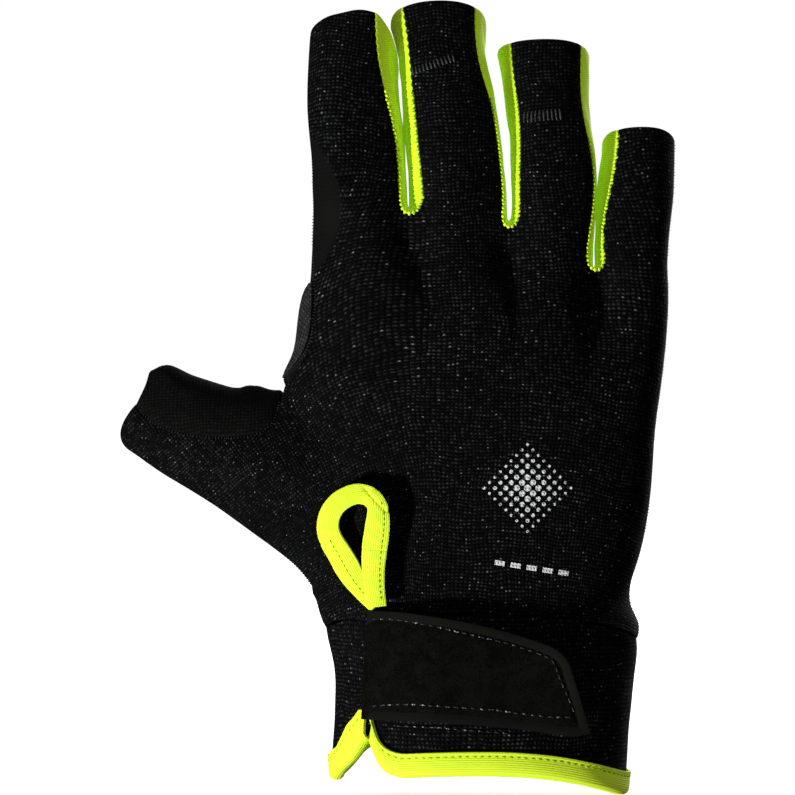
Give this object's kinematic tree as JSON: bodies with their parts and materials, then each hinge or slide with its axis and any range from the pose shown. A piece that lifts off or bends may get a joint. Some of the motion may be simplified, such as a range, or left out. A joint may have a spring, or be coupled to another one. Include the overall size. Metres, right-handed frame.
{
  "type": "climbing glove",
  "caption": "Fingerless climbing glove for the right hand: black knit back, suede palm, lime finger walls, knit cuff with a closing strap and a pull loop.",
  "frame": {"origin": "middle of the wrist opening, where the hand goes in", "axes": "+Z towards the fingertips, -Y out of the back of the hand, +X towards the little finger"},
  "size_m": [0.1382, 0.051, 0.1986],
  "materials": {
    "black_knit": "matte knit",
    "rib_knit": "matte fine rib knit",
    "black_suede": "matte suede",
    "strap_suede": "matte suede",
    "grip_suede": "matte grained suede",
    "lime_cloth": "soft matte",
    "lime_tape": "fine ribbed",
    "hook_fastener": "matte"
  },
  "bodies": {
    "root": {"back_panel": "black_knit", "palm_panel": "black_suede", "thumb_gusset": "black_suede", "fourchette_index_middle": "lime_cloth", "fourchette_middle_ring": "lime_cloth", "fourchette_ring_little": "lime_cloth", "palm_patch": "grip_suede", "cuff": "rib_knit", "cuff_binding": "lime_tape", "pull_loop": "lime_tape", "wrist_strap": "strap_suede", "strap_fastener": "hook_fastener"}
  },
  "joints": []
}
